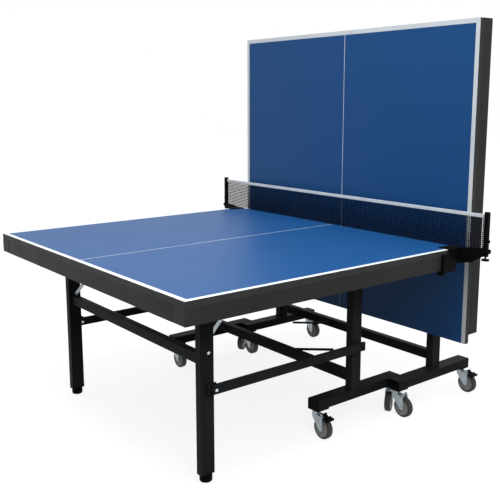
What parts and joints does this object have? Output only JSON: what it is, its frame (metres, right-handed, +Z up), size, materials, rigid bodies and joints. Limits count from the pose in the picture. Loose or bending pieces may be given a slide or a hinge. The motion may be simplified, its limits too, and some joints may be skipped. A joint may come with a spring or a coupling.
{
  "type": "folding table tennis table",
  "caption": "Full-size indoor folding table tennis table on nesting wheeled trolleys, one half level for play and one half folded upright, with a clamped net.",
  "frame": {"origin": "middle of the bounding box at floor level, below the whole table in the pose of one half level and one half upright", "axes": "+X runs along the table from the level half to the upright half, +Y across the table along the net, +Z up"},
  "size_m": [1.706, 1.803, 1.695],
  "materials": {
    "playing_surface": "satin",
    "steel_frame": "satin",
    "steel_apron": "satin",
    "black_plastic": "matte",
    "zinc_steel": "zinc plated",
    "caster_wheel": "matte",
    "net_fabric": "woven"
  },
  "bodies": {
    "trolley_a": {"base_beams_a": "steel_frame", "posts_a": "steel_frame", "end_caps_a": "black_plastic", "cross_rail_a": "steel_frame"},
    "half_a": {"board_a": "playing_surface", "side_aprons_a": "steel_apron", "end_apron_a": "steel_apron", "corner_pieces_a": "black_plastic", "under_frame_a": "steel_frame", "fold_brackets_a": "steel_frame", "net": "net_fabric", "net_clamp_near": "black_plastic", "net_clamp_far": "black_plastic"},
    "legs_a": {"legs_a": "steel_frame", "leg_rail_a": "steel_frame"},
    "links_a": {"link_bars_a": "steel_frame"},
    "stays_a": {"stays_a": "zinc_steel"},
    "lever_a": {"release_lever_a": "black_plastic"},
    "levelling_foot_a_near": {"foot_near_a": "black_plastic"},
    "levelling_foot_a_far": {"foot_far_a": "black_plastic"},
    "trolley_b": {"base_beams_b": "steel_frame", "posts_b": "steel_frame", "end_caps_b": "black_plastic", "cross_rail_b": "steel_frame"},
    "half_b": {"board_b": "playing_surface", "side_aprons_b": "steel_apron", "end_apron_b": "steel_apron", "corner_pieces_b": "black_plastic", "under_frame_b": "steel_frame", "fold_brackets_b": "steel_frame"},
    "legs_b": {"legs_b": "steel_frame", "leg_rail_b": "steel_frame"},
    "links_b": {"link_bars_b": "steel_frame"},
    "stays_b": {"stays_b": "zinc_steel"},
    "lever_b": {"release_lever_b": "black_plastic"},
    "levelling_foot_b_near": {"foot_near_b": "black_plastic"},
    "levelling_foot_b_far": {"foot_far_b": "black_plastic"},
    "clamp_screw_near": {"clamp_screw_near": "black_plastic"},
    "clamp_screw_far": {"clamp_screw_far": "black_plastic"},
    "caster_a_near_out": {"fork_a_near_out": "zinc_steel"},
    "wheel_a_near_out": {"wheel_a_near_out": "caster_wheel"},
    "pedal_a_near": {"pedal_a_near": "black_plastic"},
    "caster_a_near_in": {"fork_a_near_in": "zinc_steel"},
    "wheel_a_near_in": {"wheel_a_near_in": "caster_wheel"},
    "caster_a_far_out": {"fork_a_far_out": "zinc_steel"},
    "wheel_a_far_out": {"wheel_a_far_out": "caster_wheel"},
    "pedal_a_far": {"pedal_a_far": "black_plastic"},
    "caster_a_far_in": {"fork_a_far_in": "zinc_steel"},
    "wheel_a_far_in": {"wheel_a_far_in": "caster_wheel"},
    "caster_b_near_out": {"fork_b_near_out": "zinc_steel"},
    "wheel_b_near_out": {"wheel_b_near_out": "caster_wheel"},
    "pedal_b_near": {"pedal_b_near": "black_plastic"},
    "caster_b_near_in": {"fork_b_near_in": "zinc_steel"},
    "wheel_b_near_in": {"wheel_b_near_in": "caster_wheel"},
    "caster_b_far_out": {"fork_b_far_out": "zinc_steel"},
    "wheel_b_far_out": {"wheel_b_far_out": "caster_wheel"},
    "pedal_b_far": {"pedal_b_far": "black_plastic"},
    "caster_b_far_in": {"fork_b_far_in": "zinc_steel"},
    "wheel_b_far_in": {"wheel_b_far_in": "caster_wheel"}
  },
  "joints": [
    {"name": "fold_a", "type": "hinge", "parent": "trolley_a", "child": "half_a", "pos_m": [0.142, 0, 0.7], "axis": [0, 1, 0], "range_deg": [0, 90]},
    {"name": "leg_turn_a", "type": "hinge", "parent": "half_a", "child": "legs_a", "pos_m": [-0.611, 0, 0.7], "axis": [0, 1, 0], "range_deg": [-90, 0]},
    {"name": "link_turn_a", "type": "hinge", "parent": "trolley_a", "child": "links_a", "pos_m": [0.151, 0, 0.354], "axis": [0, 1, 0], "range_deg": [0, 90]},
    {"name": "stay_turn_a", "type": "hinge", "parent": "half_a", "child": "stays_a", "pos_m": [-0.433, 0, 0.69], "axis": [0, 1, 0], "range_deg": [0, 46.91]},
    {"name": "trolley_b_roll", "type": "slide", "parent": "trolley_a", "child": "trolley_b", "axis": [1, 0, 0], "range_m": [0, 0.26701]},
    {"name": "fold_b", "type": "hinge", "parent": "trolley_b", "child": "half_b", "pos_m": [0.641, 0, 0.7], "axis": [0, 1, 0], "range_deg": [0, 90]},
    {"name": "leg_turn_b", "type": "hinge", "parent": "half_b", "child": "legs_b", "pos_m": [0.641, 0, 1.453], "axis": [0, 1, 0], "range_deg": [-90, 0]},
    {"name": "link_turn_b", "type": "hinge", "parent": "trolley_b", "child": "links_b", "pos_m": [0.632, 0, 0.354], "axis": [0, 1, 0], "range_deg": [0, 90]},
    {"name": "stay_turn_b", "type": "hinge", "parent": "half_b", "child": "stays_b", "pos_m": [0.651, 0, 1.275], "axis": [0, 1, 0], "range_deg": [0, 46.91]},
    {"name": "foot_screw_a_near", "type": "slide", "parent": "legs_a", "child": "levelling_foot_a_near", "axis": [0, 0, -1], "range_m": [0, 0.012]},
    {"name": "foot_screw_a_far", "type": "slide", "parent": "legs_a", "child": "levelling_foot_a_far", "axis": [0, 0, -1], "range_m": [0, 0.012]},
    {"name": "foot_screw_b_near", "type": "slide", "parent": "legs_b", "child": "levelling_foot_b_near", "axis": [0, 0, -1], "range_m": [0, 0.012]},
    {"name": "foot_screw_b_far", "type": "slide", "parent": "legs_b", "child": "levelling_foot_b_far", "axis": [0, 0, -1], "range_m": [0, 0.012]},
    {"name": "lever_turn_a", "type": "hinge", "parent": "trolley_a", "child": "lever_a", "pos_m": [0.176, -0.095, 0.213], "axis": [0, 0, 1], "range_deg": [0, 30]},
    {"name": "lever_turn_b", "type": "hinge", "parent": "trolley_b", "child": "lever_b", "pos_m": [0.607, 0.095, 0.213], "axis": [0, 0, 1], "range_deg": [0, 30]},
    {"name": "clamp_screw_turn_near", "type": "hinge", "parent": "half_a", "child": "clamp_screw_near", "pos_m": [0.455, -0.7145, 0.7], "axis": [0, 0, 1], "continuous": true},
    {"name": "clamp_screw_turn_far", "type": "hinge", "parent": "half_a", "child": "clamp_screw_far", "pos_m": [0.455, 0.7145, 0.7], "axis": [0, 0, 1], "continuous": true},
    {"name": "swivel_a_near_out", "type": "hinge", "parent": "trolley_a", "child": "caster_a_near_out", "pos_m": [-0.049, -0.504, 0.1], "axis": [0, 0, 1], "continuous": true},
    {"name": "roll_a_near_out", "type": "hinge", "parent": "caster_a_near_out", "child": "wheel_a_near_out", "pos_m": [-0.049, -0.546, 0.045], "axis": [1, 0, 0], "continuous": true},
    {"name": "pedal_press_a_near", "type": "hinge", "parent": "caster_a_near_out", "child": "pedal_a_near", "pos_m": [-0.049, -0.55, 0.103], "axis": [-1, 0, 0], "range_deg": [0, 16]},
    {"name": "swivel_a_near_in", "type": "hinge", "parent": "trolley_a", "child": "caster_a_near_in", "pos_m": [0.409, -0.504, 0.1], "axis": [0, 0, 1], "range_deg": [-180, 0]},
    {"name": "roll_a_near_in", "type": "hinge", "parent": "caster_a_near_in", "child": "wheel_a_near_in", "pos_m": [0.37263, -0.525, 0.045], "axis": [0.5, -0.866, 0], "continuous": true},
    {"name": "swivel_a_far_out", "type": "hinge", "parent": "trolley_a", "child": "caster_a_far_out", "pos_m": [-0.049, 0.566, 0.1], "axis": [0, 0, 1], "continuous": true},
    {"name": "roll_a_far_out", "type": "hinge", "parent": "caster_a_far_out", "child": "wheel_a_far_out", "pos_m": [-0.049, 0.524, 0.045], "axis": [1, 0, 0], "continuous": true},
    {"name": "pedal_press_a_far", "type": "hinge", "parent": "caster_a_far_out", "child": "pedal_a_far", "pos_m": [-0.049, 0.52, 0.103], "axis": [-1, 0, 0], "range_deg": [0, 16]},
    {"name": "swivel_a_far_in", "type": "hinge", "parent": "trolley_a", "child": "caster_a_far_in", "pos_m": [0.409, 0.566, 0.1], "axis": [0, 0, 1], "range_deg": [-180, 0]},
    {"name": "roll_a_far_in", "type": "hinge", "parent": "caster_a_far_in", "child": "wheel_a_far_in", "pos_m": [0.37263, 0.545, 0.045], "axis": [0.5, -0.866, 0], "continuous": true},
    {"name": "swivel_b_near_out", "type": "hinge", "parent": "trolley_b", "child": "caster_b_near_out", "pos_m": [0.832, -0.566, 0.1], "axis": [0, 0, 1], "continuous": true},
    {"name": "roll_b_near_out", "type": "hinge", "parent": "caster_b_near_out", "child": "wheel_b_near_out", "pos_m": [0.832, -0.608, 0.045], "axis": [1, 0, 0], "continuous": true},
    {"name": "pedal_press_b_near", "type": "hinge", "parent": "caster_b_near_out", "child": "pedal_b_near", "pos_m": [0.832, -0.612, 0.103], "axis": [-1, 0, 0], "range_deg": [0, 16]},
    {"name": "swivel_b_near_in", "type": "hinge", "parent": "trolley_b", "child": "caster_b_near_in", "pos_m": [0.374, -0.566, 0.1], "axis": [0, 0, 1], "range_deg": [-60, 105]},
    {"name": "roll_b_near_in", "type": "hinge", "parent": "caster_b_near_in", "child": "wheel_b_near_in", "pos_m": [0.374, -0.608, 0.045], "axis": [1, 0, 0], "continuous": true},
    {"name": "swivel_b_far_out", "type": "hinge", "parent": "trolley_b", "child": "caster_b_far_out", "pos_m": [0.832, 0.504, 0.1], "axis": [0, 0, 1], "continuous": true},
    {"name": "roll_b_far_out", "type": "hinge", "parent": "caster_b_far_out", "child": "wheel_b_far_out", "pos_m": [0.832, 0.462, 0.045], "axis": [1, 0, 0], "continuous": true},
    {"name": "pedal_press_b_far", "type": "hinge", "parent": "caster_b_far_out", "child": "pedal_b_far", "pos_m": [0.832, 0.458, 0.103], "axis": [-1, 0, 0], "range_deg": [0, 16]},
    {"name": "swivel_b_far_in", "type": "hinge", "parent": "trolley_b", "child": "caster_b_far_in", "pos_m": [0.374, 0.504, 0.1], "axis": [0, 0, 1], "range_deg": [-60, 105]},
    {"name": "roll_b_far_in", "type": "hinge", "parent": "caster_b_far_in", "child": "wheel_b_far_in", "pos_m": [0.374, 0.462, 0.045], "axis": [1, 0, 0], "continuous": true}
  ],
  "couplings": [
    {"joint": "leg_turn_a", "follows": "fold_a", "ratio": -1},
    {"joint": "link_turn_a", "follows": "fold_a", "ratio": 1},
    {"joint": "stay_turn_a", "follows": "fold_a", "ratio": 0.52127},
    {"joint": "trolley_b_roll", "follows": "fold_b", "m_per_rad": 0.16998},
    {"joint": "leg_turn_b", "follows": "fold_b", "ratio": -1},
    {"joint": "link_turn_b", "follows": "fold_b", "ratio": 1},
    {"joint": "stay_turn_b", "follows": "fold_b", "ratio": 0.52127}
  ]
}
